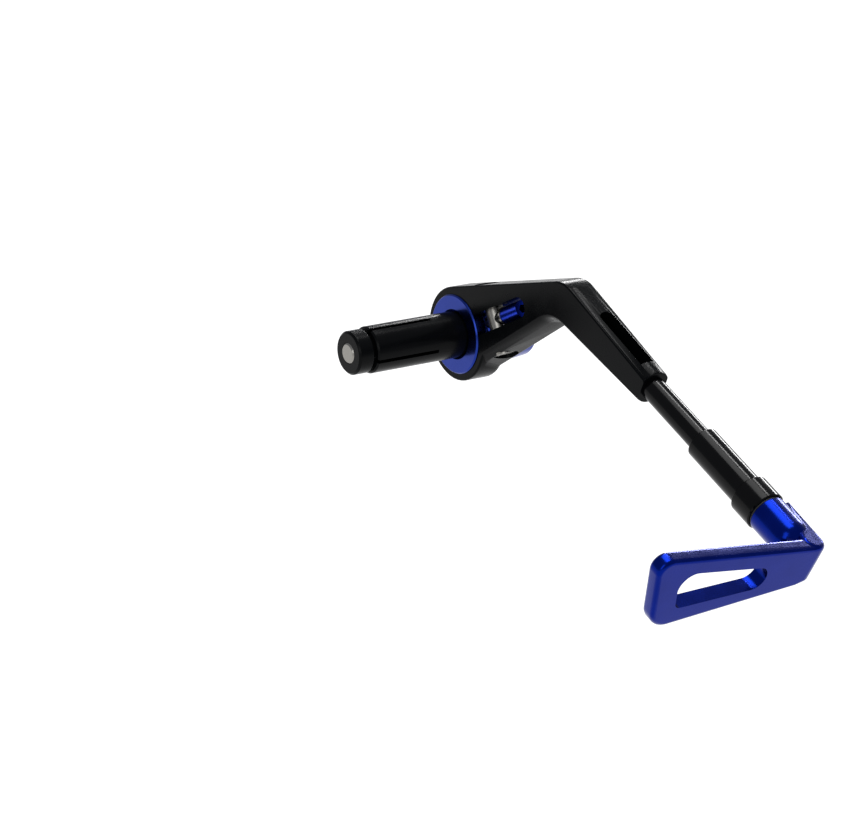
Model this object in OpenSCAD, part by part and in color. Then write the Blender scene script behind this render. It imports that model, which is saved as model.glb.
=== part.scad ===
// Brake lever guard for one end of a handlebar.
// An expanding plug holds it in the bar. A cranked arm swivels on the plug's bush, and a
// telescopic tube carries an L-shaped blade that stands in front of the lever.
// X runs outward along the handlebar, -Y is the reach past the lever, Z is up.
// The origin is on the bar's axis, at the arm's inner face.

/* [Bar plug] */
// Outside diameter of the expanding plug
plug_d = 18; // [16:0.5:19]
// Length of the plug between the arm's inner face and its slit end
plug_len = 41; // [32:1:60]
// Width of each expansion slit
slit_w = 1.5; // [1:0.1:2]
// Length of plug next to the arm that is left without slits
slit_root = 13.5; // [8:0.5:20]
// Diameter of the clamping bolt
bolt_d = 8; // [6:0.5:8]
// Diameter of the cone nut's rim
cone_rim_d = 16.8; // [15:0.2:17.6]
// Length of the cone nut's rim
cone_rim_len = 6.5; // [4:0.5:9]
// Gap between the plug and the cone nut's rim before the bolt is tightened
cone_gap = 1.5; // [1.4:0.1:3]

/* [Bush and cap] */
// Outside diameter of the bush that the arm turns on
bush_d = 31; // [29:0.5:34]
// How far the bush stands proud of the arm's inner face
bush_proud = 0.8; // [0.3:0.1:1.5]
// Length of the end cap
cap_len = 19; // [16:0.5:24]
// Diameter of the end cap where it meets the bush
cap_base_d = 28.4; // [26:0.2:29]
// Diameter of the end cap before its rounded end
cap_end_d = 25.4; // [23:0.2:26]

/* [Arm] */
// Thickness of the arm along the bar
arm_t = 11; // [10:0.5:12]
// Wall of the arm's head round the bush
head_wall = 2.8; // [2.2:0.1:4]
// Rise of the neck's upper edge
neck_top_a = 23.2; // [20:0.2:26]
// Rise of the neck's lower edge
neck_low_a = 41; // [39:0.5:43]
// Distance of the neck's lower edge from the bar's axis, at the inner face
neck_near = 12.7; // [11.5:0.1:14]
// Distance of the neck's lower edge from the bar's axis, at the outer face
neck_far = 17; // [16.2:0.1:17.8]
// Width of the bevel along the neck's lower inner edge
under_cut = 2.5; // [1.5:0.1:3]
// Reach of the socket's mouth from the bar's axis
socket_reach = 112.4; // [108:0.2:125]
// Height of the socket's mouth above the bar's axis
socket_rise = 24.4; // [20:0.2:28]
// Droop of the tube below the level
droop_a = 15; // [12:0.5:18]
// Height of the arm's upper edge over the tube's axis at the elbow
link_up = 7.5; // [7:0.1:9]
// Depth of the arm's lower edge under the tube's axis at the elbow
link_down = 7; // [6.6:0.1:8]
// Radius of the elbow's outer bend
elbow_out_r = 14; // [9:1:18]
// Radius of the elbow's inner bend
elbow_in_r = 16; // [10:1:18]
// Radius that breaks the arm's long edges
arm_edge = 0.8; // [0.4:0.1:1.2]
// Outside diameter of the socket
socket_d = 13.5; // [12.6:0.1:14.5]
// Length of the pocket that gives a key room behind the tube bolt
pocket_len = 29; // [24:1:32]
// Width of the pocket
pocket_w = 6; // [5.8:0.1:6.6]

/* [Swivel lock] */
// Rise of the line that the lock screw lies on
lock_a = 35; // [33:0.5:37]
// Width of the lock window
window_w = 8; // [7.2:0.1:8.6]
// Distance of the window's round end from the bar's axis
window_end = 49; // [47:0.5:52]
// Distance of the cross dowel from the bar's axis
dowel_at = 21.5; // [20.5:0.5:23]
// Diameter of the cross dowel
dowel_d = 7; // [6.4:0.1:7.6]
// Diameter of the lock screw
lock_d = 5; // [4:0.1:5]
// Diameter of the lock screw's barrel
barrel_d = 6.6; // [6:0.1:7]
// Length of the lock screw's barrel
barrel_len = 11; // [9:0.5:12]

/* [Tube and sleeve] */
// Diameter of the inner tube
tube_d = 9; // [8.4:0.1:9.2]
// Length of tube seen between the socket and the sleeve
tube_show = 30.5; // [28:0.5:40]
// Length of tube held inside the sleeve
tube_hold = 42; // [40:0.5:44]
// Diameter of the sleeve
sleeve_d = 12.3; // [12:0.1:13]
// Length of the sleeve's full-width part
sleeve_len = 28; // [26:0.5:36]
// Diameter of the lock collar
collar_d = 15.1; // [14.6:0.1:16]
// Length of the lock collar
collar_len = 10.7; // [9:0.1:14]
// Diameter of the journal that the blade turns on
journal_d = 11.2; // [11:0.1:11.6]
// Length of the journal inside the blade
journal_len = 10.5; // [9:0.5:11]

/* [Blade] */
// Diameter of the blade's round leg
leg_d = 14; // [13.6:0.1:14.6]
// Length of the leg from the friction ring to the blade's front face
leg_len = 25.4; // [24:0.2:30]
// Thickness of the blade plate
plate_t = 6; // [5:0.2:7]
// Distance of the heel from the tube's axis
heel_x = 6.3; // [6:0.1:8]
// Distance of the tip from the tube's axis
tip_x = 66.5; // [62:0.5:80]
// Height of the upper edge over the tube's axis
blade_up = 6.2; // [5.8:0.1:6.8]
// Depth of the lower edge under the tube's axis
blade_down = 11.2; // [10.5:0.1:12.5]
// Rise of the upper edge toward the tip
rise_a = 8.5; // [6:0.5:9]
// Fall of the lower edge toward the tip
fall_a = 3.2; // [1:0.1:4]
// Lean of the blade's heel
heel_lean = 10; // [0:1:12]
// Lean of the blade's tip
tip_lean = 12; // [4:1:16]
// Radius that breaks the blade's edges
blade_edge = 1.6; // [1:0.1:2.2]

/* [Hidden] */
$fn = 96;

// Clearances
run_fit = 0.05;
free_fit = 0.3;
clear = 0.3;

// Plug, bolt and cap
slits = 4;
slit_turn = 8.5;
seat_depth = 3.5;
neck_r = plug_d/2 - 0.3;
plug_hole_r = bolt_d/2 + free_fit;
cone_slope = 0.2;
cone_root_r = 6.9;
cone_len = 7.5;
cone_room = 0.35;
cone_x = -plug_len - cone_gap;
bolt_end_x = cone_x - cone_rim_len - 0.4;
bush_out = arm_t + free_fit;
cap_floor = 8;
washer_t = 1.6;
head_h = bolt_d;
head_r = 0.8*bolt_d;
cap_well_r = head_r + 2.2;
cap_round = 1.6;
groove_depth = 1.6;

// Arm
mid = arm_t/2;
rim_r = bush_d/2 + head_wall;
socket = [socket_reach, socket_rise];
along = [cos(droop_a), -sin(droop_a)];
across = [sin(droop_a), cos(droop_a)];
rim_round = 0.8;
head_steps = 30;
elbow_steps = 8;
recess_d = dowel_d + 3;
recess_depth = 1.6;

// Tube bolt, in distances from the socket's mouth
tube_seat = 4;
seat_wall = 2.5;
tube_bolt_r = 2;
tube_head_r = pocket_w/2 - 0.2;
tube_head_h = 3.6;
tube_washer_t = 0.6;
pocket_end = tube_seat + seat_wall;
pocket_floor = tube_head_r + 0.4;

// Sleeve, collar and blade stations along the tube
sleeve_s = tube_show;
collar_s = sleeve_s + sleeve_len;
ring_s = collar_s + collar_len;
ring_t = 0.6;
leg_s = ring_s + ring_t;
front_s = leg_s + leg_len;
back_s = front_s - plate_t;
tube_end_s = sleeve_s + tube_hold;
ring_wire = 0.9;
grub_r = 2;
grub_turn = -60;
clip_at = 3.2;

// Places a child whose Z axis lies at an angle above the reach direction, in the arm's mid-plane
module aim(point, angle) {
    translate([mid, -point[0], point[1]]) rotate([90 - angle, 0, 0]) children();
}
module on_tube() { aim(socket, -droop_a) children(); }
module on_lock() { aim([0, 0], lock_a) children(); }
module on_bar() { rotate([0, 90, 0]) children(); }

// A ring or solid of revolution about the handlebar's axis, from [x, r] points
module turned(profile) {
    on_bar() rotate_extrude() polygon([for (p = profile) [p[1], p[0]]]);
}

function unit(a) = [cos(a), sin(a)];
function arc(c, r, a0, a1, steps) = [for (i = [0:steps]) c + r*unit(a0 + (a1 - a0)*i/steps)];
// Where the line through p at angle a meets the line through q at angle b
function meet(p, a, q, b) =
    let (d = q - p, k = unit(a), m = unit(b))
    p + k*(d[0]*m[1] - d[1]*m[0])/(k[0]*m[1] - k[1]*m[0]);

// The arm is a stack of outlines from the inner face to the outer one. An outline runs round
// the head, along the neck's lower edge and the link to the socket's mouth, and back over the top.
// Its neck is cut away more toward the inner face, it is drawn in at both faces, and at the mouth
// it is as high as the round socket is there.
function neck_edge(x) = x < under_cut ? neck_near + x
    : neck_near + under_cut + (neck_far - neck_near - under_cut)*(x - under_cut)/(arm_t - under_cut);
function mouth(x) = sqrt(pow(socket_d/2, 2) - pow(x - mid, 2));
function mouth_round(x, side) = [for (a = side > 0 ? [90, 45, 0] : [0, 45, 90])
    socket + rim_round*(sin(a) - 1)*along + side*(mouth(x) - rim_round*(1 - cos(a)))*across];
neck_up = unit(90 + neck_top_a);
out_c = meet((rim_r - elbow_out_r)*neck_up, neck_top_a,
             socket + (link_up - elbow_out_r)*across, -droop_a);
function arm_outline(x, inset) =
    let (low = neck_edge(x) - inset, head_r = rim_r - inset, down = unit(neck_low_a - 90),
         in_c = meet((low + elbow_in_r)*down, neck_low_a,
                     socket - (link_down - inset + elbow_in_r)*across, -droop_a))
    concat(
        arc([0, 0], head_r, 90 + neck_top_a, 270 + neck_low_a + acos(low/head_r), head_steps),
        arc(in_c, elbow_in_r, 90 + neck_low_a, 90 - droop_a, elbow_steps),
        mouth_round(x, -1),
        mouth_round(x, 1),
        arc(out_c, elbow_out_r - inset, 90 - droop_a, 90 + neck_top_a, elbow_steps));

// Depths and insets of the outlines: rounded in steps at both faces, even in between. The first
// and last lie just outside the faces, where the blank is trimmed flat.
edge_steps = [30, 60, 90];
edge_over = [-arm_edge*(1 - cos(edge_steps[0])), arm_edge*(1 + sin(edge_steps[0]))];
edge_in = concat([edge_over], [for (a = edge_steps) [arm_edge*(1 - cos(a)), arm_edge*(1 - sin(a))]]);
body_steps = 6;
body_x = arm_t - arm_edge - under_cut;
arm_layers = concat(
    edge_in,
    [for (i = [0:body_steps - 1]) [under_cut + body_x*i/body_steps, 0]],
    [for (i = [len(edge_in) - 1:-1:0]) [arm_t - edge_in[i][0], edge_in[i][1]]]);

module arm_blank() {
    rings = [for (k = arm_layers) arm_outline(k[0], k[1])];
    layers = len(rings);
    n = len(rings[0]);
    intersection() {
        translate([0, -1.5*socket_reach, -socket_reach]) cube([arm_t, 2*socket_reach, 2*socket_reach]);
        polyhedron(
            [for (i = [0:layers - 1]) for (p = rings[i]) [arm_layers[i][0], -p[0], p[1]]],
            concat(
                [[for (j = [n - 1:-1:0]) j], [for (j = [0:n - 1]) (layers - 1)*n + j]],
                [for (i = [0:layers - 2]) for (j = [0:n - 1]) for (half = [0, 1])
                    let (a = i*n + j, b = i*n + (j + 1)%n)
                    half == 0 ? [a, b, b + n] : [a, b + n, a + n]]));
    }
}

// Height of the neck's upper and lower walls over the lock line, at a distance from the bar
function wall_up(b) = (rim_r - b*cos(90 + neck_top_a - lock_a))/cos(neck_top_a - lock_a);
function wall_down(b) = (neck_near - b*sin(lock_a - neck_low_a))/cos(neck_low_a - lock_a);
dowel_up = wall_up(dowel_at) - recess_depth;
dowel_down = wall_down(dowel_at) - recess_depth;

module arm() {
    color([0.09, 0.09, 0.1])
    difference() {
        arm_blank();
        // bore for the bush
        turned([[-1, 0], [arm_t + 1, 0], [arm_t + 1, bush_d/2 + run_fit], [-1, bush_d/2 + run_fit]]);
        on_lock() {
            // lock window, from the bore to its round end
            translate([-arm_t, -window_w/2, 0]) cube([2*arm_t, window_w, window_end - window_w/2]);
            translate([-arm_t, 0, window_end - window_w/2]) rotate([0, 90, 0]) cylinder(d = window_w, h = 2*arm_t);
            // cross bore for the dowel, with a recess at each wall
            translate([0, -rim_r - 2, dowel_at]) rotate([-90, 0, 0])
                cylinder(r = dowel_d/2 + run_fit, h = 2*rim_r + 4);
            translate([0, dowel_up, dowel_at]) rotate([-90, 0, 0]) cylinder(d = recess_d, h = 6);
            translate([0, -dowel_down, dowel_at]) rotate([90, 0, 0]) cylinder(d = recess_d, h = 6);
        }
        on_tube() {
            // socket for the tube, and the hole for its bolt
            translate([0, 0, -tube_seat]) cylinder(r = tube_d/2 + run_fit, h = tube_seat + 1);
            translate([0, 0, -tube_seat - seat_wall - 1]) cylinder(r = tube_bolt_r + free_fit, h = seat_wall + 2);
            // pocket for the bolt's head and its key: square at the head's seat, round at the far end
            rotate([-90, 0, 0]) translate([0, 0, -pocket_floor]) linear_extrude(pocket_floor + socket_d) {
                translate([-pocket_w/2, pocket_end]) square([pocket_w, pocket_len - pocket_w/2]);
                translate([0, pocket_end + pocket_len - pocket_w/2]) circle(d = pocket_w, $fn = 64);
            }
        }
    }
}

module plug_body() {
    seat_r = cone_root_r - cone_slope*cone_gap + cone_room;
    seat_end = (seat_r - plug_hole_r)/cone_slope;
    color([0.08, 0.08, 0.09])
    difference() {
        turned([[-plug_len + 0.6, plug_d/2], [-bush_proud, plug_d/2], [-bush_proud, neck_r],
                [seat_depth, neck_r], [seat_depth, plug_hole_r],
                [-plug_len + seat_end, plug_hole_r], [-plug_len, seat_r], [-plug_len, plug_d/2 - 0.6]]);
        for (i = [0:slits - 1]) rotate([slit_turn + i*360/slits, 0, 0])
            translate([-plug_len - 1, 0, -slit_w/2]) cube([plug_len + 1 - slit_root, plug_d, slit_w]);
    }
}

module cone_nut() {
    color([0.07, 0.07, 0.08])
    turned([[cone_x - cone_rim_len, bolt_d/2 + run_fit], [cone_x - cone_rim_len, cone_rim_d/2 - 0.8],
            [cone_x - cone_rim_len + 0.8, cone_rim_d/2], [cone_x - 0.4, cone_rim_d/2],
            [cone_x, cone_rim_d/2 - 0.4], [cone_x, cone_root_r],
            [cone_x + cone_len, cone_root_r - cone_slope*cone_len], [cone_x + cone_len, bolt_d/2 + run_fit]]);
}

module plug_bolt() {
    head_x = bush_out + cap_floor + washer_t;
    color([0.72, 0.72, 0.74])
    difference() {
        turned([[bolt_end_x, 0], [bolt_end_x, bolt_d/2 - 0.6], [bolt_end_x + 0.6, bolt_d/2],
                [head_x, bolt_d/2], [head_x, head_r], [head_x + head_h - 0.5, head_r],
                [head_x + head_h, head_r - 0.5], [head_x + head_h, 0]]);
        translate([head_x + head_h/2, 0, 0]) on_bar() cylinder(d = 0.87*bolt_d, h = head_h, $fn = 6);
    }
}

module bolt_washer() {
    x0 = bush_out + cap_floor;
    color([0.7, 0.7, 0.72])
    turned([[x0, plug_hole_r], [x0, bolt_d], [x0 + washer_t, bolt_d], [x0 + washer_t, plug_hole_r]]);
}

module pivot_bush() {
    r = bush_d/2;
    seat_r = plug_d/2 + 0.4;
    color([0.08, 0.13, 0.72])
    turned([[-bush_proud, seat_r + 0.4], [-bush_proud, r - 0.5], [0.5 - bush_proud, r],
            [mid - groove_depth, r], [mid, r - groove_depth], [mid + groove_depth, r],
            [bush_out - 0.4, r], [bush_out, r - 0.4], [bush_out, plug_hole_r],
            [seat_depth, plug_hole_r], [seat_depth, seat_r], [0.4 - bush_proud, seat_r]]);
}

module end_cap() {
    end_x = bush_out + cap_len;
    color([0.1, 0.15, 0.75])
    turned(concat(
        [[bush_out, plug_hole_r], [bush_out, cap_base_d/2 - 0.4], [bush_out + 0.4, cap_base_d/2]],
        arc([end_x - cap_round, cap_end_d/2 - cap_round], cap_round, 90, 0, 6),
        [[end_x, cap_well_r + 0.5], [end_x - 0.5, cap_well_r],
         [bush_out + cap_floor, cap_well_r], [bush_out + cap_floor, plug_hole_r]]));
}

module cross_dowel() {
    color([0.12, 0.12, 0.13])
    on_lock() translate([0, 0, dowel_at]) difference() {
        translate([0, -dowel_down, 0]) rotate([-90, 0, 0]) cylinder(d = dowel_d, h = dowel_down + dowel_up);
        translate([0, 0, -dowel_d]) cylinder(r = lock_d/2 + run_fit, h = 2*dowel_d);
    }
}

// Stations of the lock screw, from the bar's axis
point_b = bush_d/2 - groove_depth + 0.7;
barrel_b = window_end - window_w - barrel_len - 1;
lock_washer_t = 1;
socket_depth = 5;

module lock_screw() {
    color([0.75, 0.75, 0.76])
    on_lock() rotate_extrude() polygon([[0, point_b], [clear, point_b],
        [lock_d/2, point_b + lock_d/2 - clear], [lock_d/2, barrel_b + socket_depth], [0, barrel_b + socket_depth]]);
}

module lock_washer() {
    color([0.7, 0.7, 0.78])
    on_lock() translate([0, 0, barrel_b - lock_washer_t]) difference() {
        cylinder(d = barrel_d + 0.6, h = lock_washer_t);
        translate([0, 0, -1]) cylinder(r = lock_d/2 + run_fit, h = lock_washer_t + 2);
    }
}

module lock_barrel() {
    color([0.1, 0.15, 0.8])
    on_lock() translate([0, 0, barrel_b]) difference() {
        cylinder(d = barrel_d, h = barrel_len);
        translate([0, 0, -1]) cylinder(d = lock_d, h = socket_depth + 1);
        translate([0, 0, socket_depth]) cylinder(d = 3.5, h = barrel_len, $fn = 6);
    }
}

module tube_bolt() {
    under = -tube_seat - seat_wall - tube_washer_t;
    color([0.78, 0.78, 0.8])
    on_tube() difference() {
        union() {
            translate([0, 0, under]) cylinder(r = tube_bolt_r, h = 14);
            rotate_extrude() polygon(concat([[0, under], [tube_head_r, under]],
                arc([tube_head_r - 1.6, under - tube_head_h + 1.6], 1.6, 0, -90, 6),
                [[0, under - tube_head_h]]));
        }
        translate([0, 0, under - tube_head_h - 1]) cylinder(d = 3.5, h = 3.5, $fn = 6);
    }
}

module tube_washer() {
    color([0.7, 0.7, 0.7])
    on_tube() translate([0, 0, -tube_seat - seat_wall - tube_washer_t]) difference() {
        cylinder(r = tube_head_r, h = tube_washer_t);
        translate([0, 0, -1]) cylinder(r = tube_bolt_r + run_fit, h = tube_washer_t + 2);
    }
}

module tube() {
    color([0.06, 0.06, 0.07])
    on_tube() rotate_extrude() polygon([[tube_bolt_r + run_fit, -tube_seat], [tube_d/2 - 0.4, -tube_seat],
        [tube_d/2, 0.4 - tube_seat], [tube_d/2, tube_end_s - 0.6], [tube_d/2 - 0.6, tube_end_s],
        [tube_bolt_r + run_fit, tube_end_s]]);
}

module sleeve() {
    bore_r = tube_d/2 + run_fit;
    groove_s = sleeve_s + 3;
    journal_end = leg_s + journal_len;
    color([0.07, 0.07, 0.08])
    on_tube() difference() {
        rotate_extrude() polygon([[bore_r, sleeve_s], [sleeve_d/2 - 0.8, sleeve_s], [sleeve_d/2, sleeve_s + 0.8],
            [sleeve_d/2, collar_s], [journal_d/2, collar_s], [journal_d/2, journal_end - clip_at],
            [journal_d/2 - 0.4, journal_end - clip_at], [journal_d/2 - 0.4, journal_end - clip_at + ring_wire],
            [journal_d/2, journal_end - clip_at + ring_wire], [journal_d/2, journal_end],
            [bore_r, journal_end], [bore_r, groove_s + ring_wire],
            [bore_r + ring_wire, groove_s + ring_wire], [bore_r + ring_wire, groove_s], [bore_r, groove_s]]);
        // hole for the collar's grub screw
        translate([0, 0, collar_s + collar_len/2]) rotate([0, 90, grub_turn])
            cylinder(r = grub_r + run_fit, h = collar_d);
    }
}

module sleeve_ring() {
    r = tube_d/2 + run_fit + ring_wire/2;
    color([0.05, 0.05, 0.05])
    on_tube() translate([0, 0, sleeve_s + 3 + ring_wire/2]) rotate_extrude()
        translate([r, 0]) circle(d = ring_wire, $fn = 24);
}

module lock_collar() {
    color([0.08, 0.08, 0.09])
    on_tube() difference() {
        rotate_extrude() polygon([[journal_d/2 + 0.02, collar_s], [collar_d/2 - 0.9, collar_s],
            [collar_d/2, collar_s + 0.9], [collar_d/2, ring_s - 0.4], [collar_d/2 - 0.4, ring_s],
            [journal_d/2 + 0.02, ring_s]]);
        translate([0, 0, collar_s + collar_len/2]) rotate([0, 90, grub_turn])
            cylinder(r = grub_r + 0.02, h = collar_d);
    }
}

module collar_screw() {
    r0 = tube_d/2 + clear;
    color([0.2, 0.2, 0.2])
    on_tube() translate([0, 0, collar_s + collar_len/2]) rotate([0, 90, grub_turn]) difference() {
        translate([0, 0, r0]) cylinder(r = grub_r, h = collar_d/2 - r0 - 0.3);
        translate([0, 0, collar_d/2 - 1.6]) cylinder(d = 2.3, h = 3, $fn = 6);
    }
}

module friction_ring() {
    color([0.03, 0.03, 0.04])
    on_tube() translate([0, 0, ring_s]) difference() {
        cylinder(r = leg_d/2 - 0.3, h = ring_t);
        translate([0, 0, -1]) cylinder(r = journal_d/2 + 0.02, h = ring_t + 2);
    }
}

module blade_clip() {
    z0 = leg_s + journal_len - clip_at;
    color([0.6, 0.6, 0.6])
    on_tube() translate([0, 0, z0 + 0.05]) difference() {
        cylinder(r = journal_d/2 + 0.6, h = ring_wire - 0.1);
        translate([0, 0, -1]) cylinder(r = journal_d/2 - 0.3, h = 3);
        translate([0, -0.8, -1]) cube([journal_d, 1.6, 3]);
    }
}

// The blade's outline seen along the tube: sharp corners, heel top first, then clockwise
heel_top = meet([heel_x, 0], 90 - heel_lean, [0, blade_up], 180 - rise_a);
heel_low = meet([heel_x, 0], 90 - heel_lean, [0, -blade_down], 180 + fall_a);
tip_low = meet([-tip_x, 0], 90 + tip_lean, [0, -blade_down], 180 + fall_a);
tip_top = meet([-tip_x, 0], 90 + tip_lean, [0, blade_up], 180 - rise_a);

// Centre of a round of radius r in the corner between two straight edges
function in_corner(prev, corner, next, r) =
    let (a = (prev - corner)/norm(prev - corner), b = (next - corner)/norm(next - corner),
         half = acos(a*b)/2)
    corner + (a + b)/norm(a + b)*r/sin(half);

heel_r = 4.5;
blade_corners = [
    [in_corner(tip_top, heel_top, heel_low, 2) - [heel_r, 0], 2],
    [in_corner(heel_top, heel_low, tip_low, 3.5) - [heel_r, 0], 3.5],
    [in_corner(heel_low, tip_low, tip_top, 8), 8],
    [in_corner(tip_low, tip_top, heel_top, 5), 5]];

// A disc with rounded rims, the corner of the plate
module rounded_disc(r, h, edge) {
    steps = [0, 30, 60, 90];
    rotate_extrude($fn = 40) polygon(concat([[0, 0]],
        [for (a = steps) [r - edge + edge*sin(a), edge - edge*cos(a)]],
        [for (a = steps) [r - edge + edge*cos(a), h - edge + edge*sin(a)]], [[0, h]]));
}

// Slot through the plate: a round heel end and a taller tip end
slot_heel = [-23.2, -2.2];
slot_heel_r = 4.8;
slot_tip_r = 6;
slot_low_r = 2.8;
rail_top = 6;
rail_low = 4.2;
rail_tip = 9.3;
module slot_shape() {
    top = [0, blade_up] + rail_top*unit(-90 - rise_a);
    low = [0, rail_low - blade_down];
    end = [-tip_x + rail_tip, 0];
    a = meet(end, 90 + tip_lean, top, 180 - rise_a);
    b = meet(end, 90 + tip_lean, low, 180);
    hull() {
        translate(slot_heel) circle(r = slot_heel_r, $fn = 40);
        translate(in_corner(slot_heel + [0, slot_heel_r], a, b, slot_tip_r)) circle(r = slot_tip_r, $fn = 40);
        translate(in_corner(a, b, slot_heel - [0, slot_heel_r], slot_low_r)) circle(r = slot_low_r, $fn = 32);
    }
}

// The upright round of the heel, where the leg's outer side turns into the plate's front
module heel_post() {
    foot = heel_low + heel_r*[-cos(heel_lean), sin(heel_lean)];
    translate([foot[0], foot[1], front_s - heel_r]) rotate([0, 0, -heel_lean]) rotate([-90, 0, 0])
        rounded_disc(heel_r, norm(heel_top - heel_low) - 0.4, blade_edge);
}

module blade() {
    web_r = 7;
    shoulder = [4.2, 4.6];
    bore_r = journal_d/2 + run_fit;
    bore_end = leg_s + journal_len + clear;
    clip_s = leg_s + journal_len - clip_at;
    nose_s = back_s - 6.5;
    color([0.12, 0.18, 0.8])
    on_tube() difference() {
        union() {
            // plate with rounded corners and edges
            translate([0, 0, back_s]) hull()
                for (c = blade_corners) translate(c[0]) rounded_disc(c[1], plate_t, blade_edge);
            // heel that joins the plate to the leg's outer side
            hull() {
                heel_post();
                for (c = [blade_corners[0], blade_corners[1]])
                    translate([c[0][0], c[0][1], back_s]) rounded_disc(c[1], plate_t, blade_edge);
            }
            hull() {
                heel_post();
                translate([heel_x + 0.4 - shoulder[0]/2, 0, leg_s + 2]) cube([shoulder[0], 2*shoulder[1], 1], center = true);
            }
            // round leg with a domed nose that stands proud of the plate's top
            translate([0, 0, leg_s]) cylinder(d1 = leg_d - 0.8, d2 = leg_d, h = 0.4);
            translate([0, 0, leg_s + 0.4]) cylinder(d = leg_d, h = nose_s - leg_s - 0.4);
            translate([0, 0, nose_s]) sphere(d = leg_d, $fn = 48);
            // web that rounds the corner between the leg and the plate
            translate([0, heel_top[1] - 1, 0]) rotate([90, 0, 0])
                linear_extrude(heel_top[1] - heel_low[1] - 3)
                difference() {
                    translate([-4 - web_r, back_s - web_r]) square([web_r + 3, web_r + 1]);
                    translate([-4 - web_r, back_s - web_r]) circle(r = web_r, $fn = 64);
                }
        }
        // bore for the sleeve's journal, its clip groove, and room for the tube's end
        translate([0, 0, leg_s - 1]) cylinder(r = bore_r, h = bore_end - leg_s + 1);
        translate([0, 0, clip_s]) cylinder(r = journal_d/2 + 0.8, h = ring_wire);
        translate([0, 0, leg_s]) cylinder(r = tube_d/2 + clear, h = back_s - leg_s - 4);
        translate([0, 0, back_s - 1]) linear_extrude(plate_t + 2) slot_shape();
    }
}

plug_body();
cone_nut();
plug_bolt();
bolt_washer();
pivot_bush();
end_cap();
arm();
cross_dowel();
lock_screw();
lock_washer();
lock_barrel();
tube_bolt();
tube_washer();
tube();
sleeve();
sleeve_ring();
lock_collar();
collar_screw();
friction_ring();
blade_clip();
blade();
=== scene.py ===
import math
import bmesh
import bpy
from mathutils import Matrix, Vector


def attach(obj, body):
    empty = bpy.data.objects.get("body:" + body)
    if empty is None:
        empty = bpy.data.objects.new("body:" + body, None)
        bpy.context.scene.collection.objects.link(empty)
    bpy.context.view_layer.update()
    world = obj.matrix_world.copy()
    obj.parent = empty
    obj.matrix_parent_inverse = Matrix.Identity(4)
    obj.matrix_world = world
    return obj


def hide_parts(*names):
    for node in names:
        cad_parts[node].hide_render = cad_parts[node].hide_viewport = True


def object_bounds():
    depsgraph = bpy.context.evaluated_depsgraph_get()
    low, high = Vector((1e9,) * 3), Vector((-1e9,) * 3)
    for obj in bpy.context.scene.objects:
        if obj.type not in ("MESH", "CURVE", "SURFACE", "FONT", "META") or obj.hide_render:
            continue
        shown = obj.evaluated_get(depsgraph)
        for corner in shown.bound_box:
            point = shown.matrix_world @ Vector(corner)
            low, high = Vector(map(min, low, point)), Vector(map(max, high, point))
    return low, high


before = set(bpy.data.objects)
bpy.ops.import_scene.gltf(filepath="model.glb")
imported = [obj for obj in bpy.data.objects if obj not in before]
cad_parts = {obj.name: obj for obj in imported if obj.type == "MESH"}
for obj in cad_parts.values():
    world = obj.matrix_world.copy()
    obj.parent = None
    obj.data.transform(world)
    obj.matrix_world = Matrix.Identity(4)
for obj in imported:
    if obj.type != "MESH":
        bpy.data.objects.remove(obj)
cad_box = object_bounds()

# The view: the guard is seen from its inner side, in front of the blade and a little above,
# through a long lens, and the camera is rolled a few degrees as the guard lies in the photo.
image_width = 860
focal_pixels = 3050
camera_place = (-0.6437095, -0.8631007, 0.4589203)
toward_viewer = Vector((-0.539068, -0.732103, 0.416449)).normalized()
camera_roll = math.radians(5.945)
camera_data = bpy.data.cameras.new("camera")
camera_data.sensor_width = 36
camera_data.lens = camera_data.sensor_width * focal_pixels / image_width
camera_data.clip_start = 0.05
camera_data.clip_end = 20
camera = bpy.data.objects.new("camera", camera_data)
bpy.context.scene.collection.objects.link(camera)
level = Vector((0, 0, 1)).cross(toward_viewer).normalized()
camera_right = Matrix.Rotation(camera_roll, 3, toward_viewer) @ level
camera_up = toward_viewer.cross(camera_right)
camera.matrix_world = Matrix.Translation(camera_place) @ Matrix(
    (camera_right, camera_up, toward_viewer)).transposed().to_4x4()
bpy.context.scene.camera = camera

# Expanding plug: a turned aluminium sleeve, sawn into four fingers and dyed black, that grips
# the handlebar's bore. Its neck sits in the blue bush and the clamping bolt runs through it.
mm = 0.001
merge_gap = 0.002 * mm
flat_angle = math.radians(0.6)
along_bar = (1, 0, 0)


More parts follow.
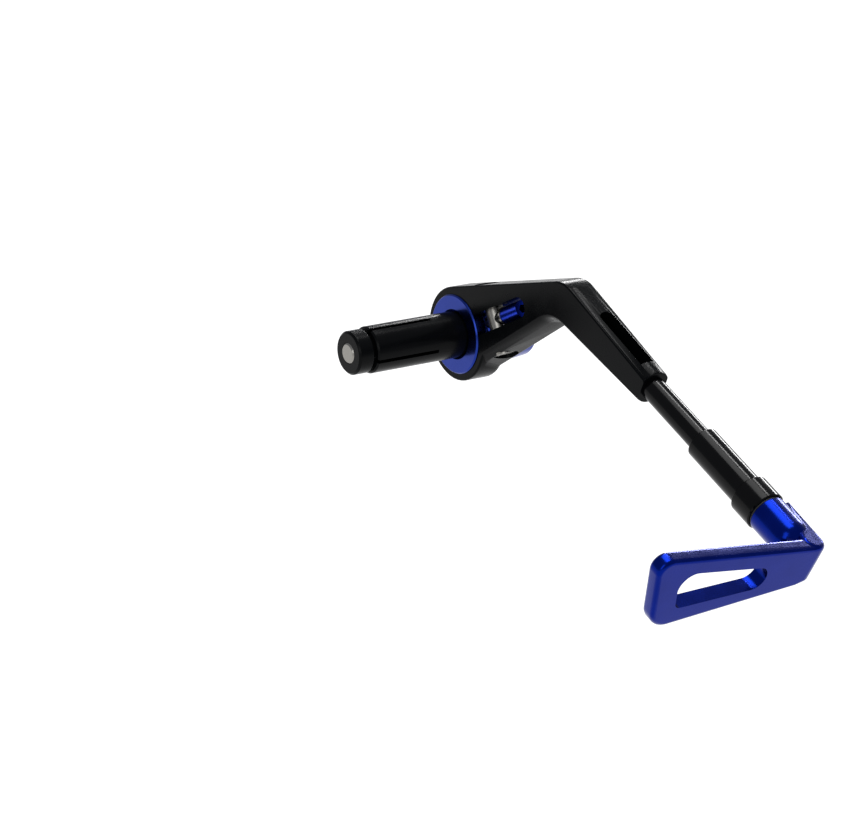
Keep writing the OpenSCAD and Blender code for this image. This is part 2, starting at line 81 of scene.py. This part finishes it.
def anodised(name, colour, rough, grain=0.0, coat=0.0, metal=1.0, specular=0.5, axis=None):
    """A slightly cloudy metal finish. A grain adds fine tool lines, which run round the axis, if any."""
    material = bpy.data.materials.new(name)
    material.use_nodes = True
    nodes = material.node_tree.nodes
    links = material.node_tree.links
    shader = nodes["Principled BSDF"]
    shader.inputs["Metallic"].default_value = metal
    shader.inputs["Specular IOR Level"].default_value = specular
    shader.inputs["Coat Weight"].default_value = coat
    shader.inputs["Coat Roughness"].default_value = 0.12
    place = nodes.new("ShaderNodeTexCoord")
    clouds = nodes.new("ShaderNodeTexNoise")
    clouds.inputs["Scale"].default_value = 130
    clouds.inputs["Detail"].default_value = 4
    links.new(place.outputs["Object"], clouds.inputs["Vector"])
    dye = nodes.new("ShaderNodeMix")
    dye.data_type = "RGBA"
    dye.inputs["A"].default_value = (*[c * 0.86 for c in colour], 1)
    dye.inputs["B"].default_value = (*[c * 1.14 for c in colour], 1)
    links.new(clouds.outputs["Fac"], dye.inputs["Factor"])
    links.new(dye.outputs["Result"], shader.inputs["Base Color"])
    sheen = nodes.new("ShaderNodeMapRange")
    sheen.inputs["From Min"].default_value = 0.3
    sheen.inputs["From Max"].default_value = 0.7
    sheen.inputs["To Min"].default_value = rough * 0.85
    sheen.inputs["To Max"].default_value = rough * 1.2
    links.new(clouds.outputs["Fac"], sheen.inputs["Value"])
    links.new(sheen.outputs["Result"], shader.inputs["Roughness"])
    if grain:
        stretch = nodes.new("ShaderNodeMapping")
        if axis is not None:
            stretch.vector_type = "TEXTURE"
            stretch.inputs["Rotation"].default_value = Vector(axis).to_track_quat("Z", "Y").to_euler()
            stretch.inputs["Scale"].default_value = (25, 25, 1)
        links.new(place.outputs["Object"], stretch.inputs["Vector"])
        lines = nodes.new("ShaderNodeTexNoise")
        lines.inputs["Scale"].default_value = 5200
        lines.inputs["Detail"].default_value = 3
        links.new(stretch.outputs["Vector"], lines.inputs["Vector"])
        relief = nodes.new("ShaderNodeBump")
        relief.inputs["Strength"].default_value = grain
        relief.inputs["Distance"].default_value = 0.02 * mm
        links.new(lines.outputs["Fac"], relief.inputs["Height"])
        links.new(relief.outputs["Normal"], shader.inputs["Normal"])
    return material


def piece_from(bm, name):
    """Puts a bmesh in the scene as an object, without the corner normals of the mesh it came from."""
    mesh = bpy.data.meshes.new(name)
    bm.to_mesh(mesh)
    bm.free()
    if "custom_normal" in mesh.attributes:
        mesh.attributes.remove(mesh.attributes["custom_normal"])
    piece = bpy.data.objects.new(name, mesh)
    bpy.context.scene.collection.objects.link(piece)
    return piece


def machined(node, body, look, corner, sharp=32, weigh="CORNER_ANGLE"):
    """A merged copy of a CAD node with broken edges. An edge over the sharp angle stays sharp.

    Normals weighed by corner angle keep a turned face round, and by face area they keep a milled face flat.
    """
    sharp_angle = math.radians(sharp)
    bm = bmesh.new()
    bm.from_mesh(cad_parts[node].data)
    bmesh.ops.remove_doubles(bm, verts=bm.verts, dist=merge_gap)
    bmesh.ops.dissolve_degenerate(bm, edges=bm.edges, dist=merge_gap)
    bmesh.ops.dissolve_limit(bm, angle_limit=flat_angle, verts=bm.verts, edges=bm.edges)
    for face in bm.faces:
        face.smooth = True
    for edge in bm.edges:
        if len(edge.link_faces) == 2:
            edge.smooth = edge.calc_face_angle(0) < sharp_angle
    piece = piece_from(bm, node + "_finished")
    piece.data.materials.clear()
    piece.data.materials.append(look)
    if corner:
        edges = piece.modifiers.new("broken edges", "BEVEL")
        edges.width = corner
        edges.segments = 3
        edges.limit_method = "ANGLE"
        edges.angle_limit = sharp_angle
        edges.miter_outer = "MITER_ARC"
        edges.harden_normals = False
    normals = piece.modifiers.new("even shading", "WEIGHTED_NORMAL")
    normals.keep_sharp = True
    normals.weight = 60
    normals.mode = weigh
    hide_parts(node)
    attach(piece, body)


black_plug = anodised("plug_black", (0.002, 0.0022, 0.0026), 0.24, grain=0.05, metal=0.0, specular=0.06,
                      axis=along_bar)
machined("plug_body", "bar_mount", black_plug, 0.15 * mm)

# Cone nut and its M8 bolt: the black aluminium cone is drawn into the plug's end by the
# zinc-plated steel bolt, whose flat end shows in the middle of the nut.
zinc = anodised("zinc_plate", (0.27, 0.26, 0.24), 0.28, grain=0.2, axis=along_bar)
machined("cone_nut", "cone_nut", black_plug, 0.12 * mm)
machined("plug_bolt", "plug_bolt", zinc, 0.12 * mm)
machined("bolt_washer", "bar_mount", zinc, 0.1 * mm)

# Bush and end cap: both turned from aluminium bar and dyed blue. The arm turns on the bush,
# and the cap closes the bar's end over the bolt's head.
turned_blue = anodised("blue_turned", (0.013, 0.032, 0.24), 0.22, grain=0.12, coat=0.06, axis=along_bar)
machined("pivot_bush", "bar_mount", turned_blue, 0.1 * mm)
machined("end_cap", "bar_mount", turned_blue, 0.15 * mm)

# Arm: milled from aluminium plate, its edges rounded, blasted and dyed black.
black_arm = anodised("arm_black", (0.0015, 0.0018, 0.0022), 0.24, metal=0.0, specular=0.05)
machined("arm", "arm", black_arm, 0.18 * mm, 36, "FACE_AREA")

# Swivel lock: a dark steel screw with a blue barrel runs through a silver cross dowel to the bush.
dark_steel = anodised("black_oxide", (0.03, 0.03, 0.032), 0.35, grain=0.3)
machined("cross_dowel", "arm", zinc, 0.15 * mm)
machined("lock_screw", "arm", dark_steel, 0.0)
machined("lock_washer", "arm", zinc, 0.05 * mm)
barrel_blue = anodised("barrel_blue", (0.008, 0.035, 0.5), 0.3)
machined("lock_barrel", "arm", barrel_blue, 0.15 * mm)

# Tube and its bolt: a thin-walled black tube, held in the arm's socket by a domed steel bolt
# whose head lies in the key pocket.
black_tube = anodised("tube_black", (0.0015, 0.0015, 0.0018), 0.16, metal=0.0, specular=0.12)
machined("tube_bolt", "arm", zinc, 0.1 * mm)
machined("tube_washer", "arm", zinc, 0.0)
machined("tube", "arm", black_tube, 0.1 * mm)

# Sleeve and lock collar: turned black aluminium that slides on the tube. A grub screw in the
# collar clamps it, and an O-ring keeps it from rattling.
rubber = anodised("black_rubber", (0.008, 0.008, 0.008), 0.6, grain=0.4, metal=0.0)
machined("sleeve", "sleeve", black_tube, 0.15 * mm)
machined("sleeve_ring", "sleeve", rubber, 0.0)
machined("lock_collar", "sleeve", black_tube, 0.15 * mm)
machined("collar_screw", "sleeve", dark_steel, 0.05 * mm)
machined("friction_ring", "sleeve", rubber, 0.05 * mm)
machined("blade_clip", "sleeve", zinc, 0.0)

# Blade: milled from one block of aluminium and dyed blue. Its round leg turns on the sleeve's
# journal, and the slotted plate stands in front of the lever.
blue = anodised("blue_anodised", (0.002, 0.012, 0.19), 0.22)
machined("blade", "blade", blue, 0.25 * mm, 36, "FACE_AREA_WITH_ANGLE")

# Studio: a white floor, soft overhead light, and strips that draw the lines along the tube.
# The floor lies below the arm's full swing about the bar, so no pose sinks into it.
floor_z = -1.15 * (cad_box[1].y - cad_box[0].y)
bm = bmesh.new()
bmesh.ops.create_grid(bm, x_segments=1, y_segments=1, size=6)
bmesh.ops.translate(bm, verts=bm.verts, vec=(0, 0, floor_z))
floor = piece_from(bm, "floor")
white = bpy.data.materials.new("white_floor")
white.use_nodes = True
paint = white.node_tree.nodes["Principled BSDF"]
paint.inputs["Base Color"].default_value = (0.15, 0.15, 0.15, 1)
paint.inputs["Roughness"].default_value = 0.8
paint.inputs["Specular IOR Level"].default_value = 0.1
paint.inputs["Emission Color"].default_value = (1, 1, 1, 1)
paint.inputs["Emission Strength"].default_value = 1.0
floor.data.materials.append(white)

world = bpy.data.worlds.new("studio")
world.use_nodes = True
world.node_tree.nodes["Background"].inputs["Color"].default_value = (0.9, 0.93, 1, 1)
world.node_tree.nodes["Background"].inputs["Strength"].default_value = 0.4
bpy.context.scene.world = world

guard_middle = Vector((0, -0.1, 0.02))


def softbox(name, place, size, power):
    """A rectangular studio light that faces the middle of the guard."""
    data = bpy.data.lights.new(name, "AREA")
    data.shape = "RECTANGLE"
    data.size, data.size_y = size
    data.energy = power
    lamp = bpy.data.objects.new(name, data)
    bpy.context.scene.collection.objects.link(lamp)
    away = Vector(place) - guard_middle
    lamp.matrix_world = Matrix.Translation(place) @ away.to_track_quat("Z", "Y").to_matrix().to_4x4()


softbox("overhead", (0.0, 0.0, 1.2), (0.6, 0.6), 6)
softbox("side", (-1.0, -0.6, 0.6), (0.5, 0.9), 3)
softbox("low_strip", (0.82, 0.55, 0.3), (0.8, 0.12), 8)
softbox("high_strip", (0.29, 0.32, 0.99), (0.5, 0.06), 4)

bpy.context.scene.view_settings.view_transform = "Standard"
